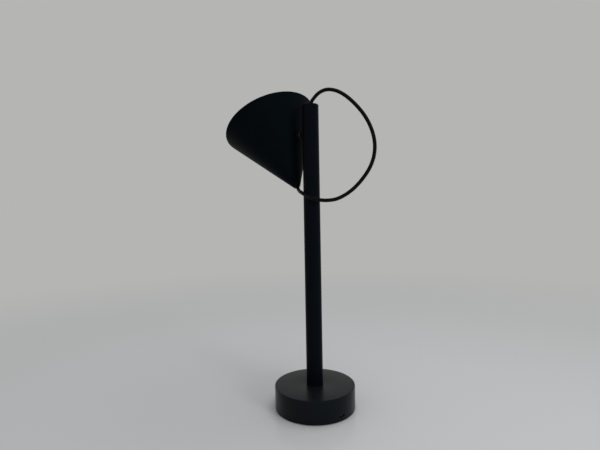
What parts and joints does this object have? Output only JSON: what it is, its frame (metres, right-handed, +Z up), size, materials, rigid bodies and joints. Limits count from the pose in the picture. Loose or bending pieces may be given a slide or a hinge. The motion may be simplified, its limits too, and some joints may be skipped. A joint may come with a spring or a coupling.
{
  "type": "table lamp with a swivelling cone shade",
  "caption": "Table lamp: weighted round base, straight post, cone shade on a side swivel, and a free loop of cable from the post's top to the cone's tip.",
  "frame": {"origin": "middle of the underside of the foot pad, on the table, under the post's axis", "axes": "+Z up along the post, -Y from the post towards the shade, +X the side that the cone's tip swings to when the swivel turns positive; the charging slot faces 8 degrees from +Y towards +X"},
  "size_m": [0.1526, 0.2553, 0.4835],
  "materials": {
    "black_coat": "satin powder coat",
    "black_tube_coat": "satin powder coat",
    "shade_coat": "satin powder coat, matt white inside",
    "black_anodised": "satin, black",
    "cast_iron": "rough",
    "zinc_steel": "zinc plated",
    "black_steel": "black oxide",
    "bare_aluminium": "satin, bare",
    "nickel_brass": "satin",
    "foot_rubber": "matt",
    "cable_rubber": "smooth, satin",
    "friction_fibre": "matt",
    "black_plastic": "matt",
    "white_plastic": "matt",
    "cell_wrap": "shrink sleeve",
    "board_green": "solder mask",
    "board_white": "white solder mask",
    "emitter_yellow": "phosphor",
    "opal_plastic": "opal, satin",
    "terminal_green": "moulded",
    "red_plastic": "smooth"
  },
  "bodies": {
    "stand": {"base_shell": "black_coat", "ballast": "cast_iron", "ballast_screws": "zinc_steel", "base_cover": "black_coat", "cover_screws": "black_steel", "foot_pad": "foot_rubber", "battery_cell_left": "cell_wrap", "battery_cell_right": "cell_wrap", "battery_cradle": "black_plastic", "cell_contacts": "zinc_steel", "controller_board": "board_green", "board_screws": "zinc_steel", "charging_socket": "black_steel", "socket_tongue": "black_plastic", "cable_terminal": "terminal_green", "touch_contact": "nickel_brass", "post_tube": "black_tube_coat", "post_foot": "zinc_steel", "post_washer": "zinc_steel", "post_nut": "zinc_steel", "post_cap": "black_plastic", "pivot_anchor": "zinc_steel", "pivot_collar": "black_anodised", "stop_pin": "zinc_steel", "friction_washer": "friction_fibre", "pivot_bolt": "black_steel", "disc_springs": "zinc_steel", "cable_in_post": "cable_rubber", "cable_loop": "cable_rubber"},
    "shade": {"shade_boss": "black_anodised", "shade_clamp": "bare_aluminium", "shade_cone": "shade_coat", "tip_bush": "black_anodised", "tip_nipple": "zinc_steel", "heat_sink": "bare_aluminium", "led_board": "board_white", "light_emitter": "emitter_yellow", "light_dome": "opal_plastic", "dome_ring": "bare_aluminium", "ring_screws": "zinc_steel", "cord_grip": "white_plastic", "led_leads": "red_plastic", "cable_in_shade": "cable_rubber"}
  },
  "joints": [
    {"name": "shade_swivel", "type": "hinge", "parent": "stand", "child": "shade", "pos_m": [0, -0.0195, 0.416], "axis": [0, -1, 0], "range_deg": [-90, 179], "deforming": ["cable_loop"]}
  ]
}
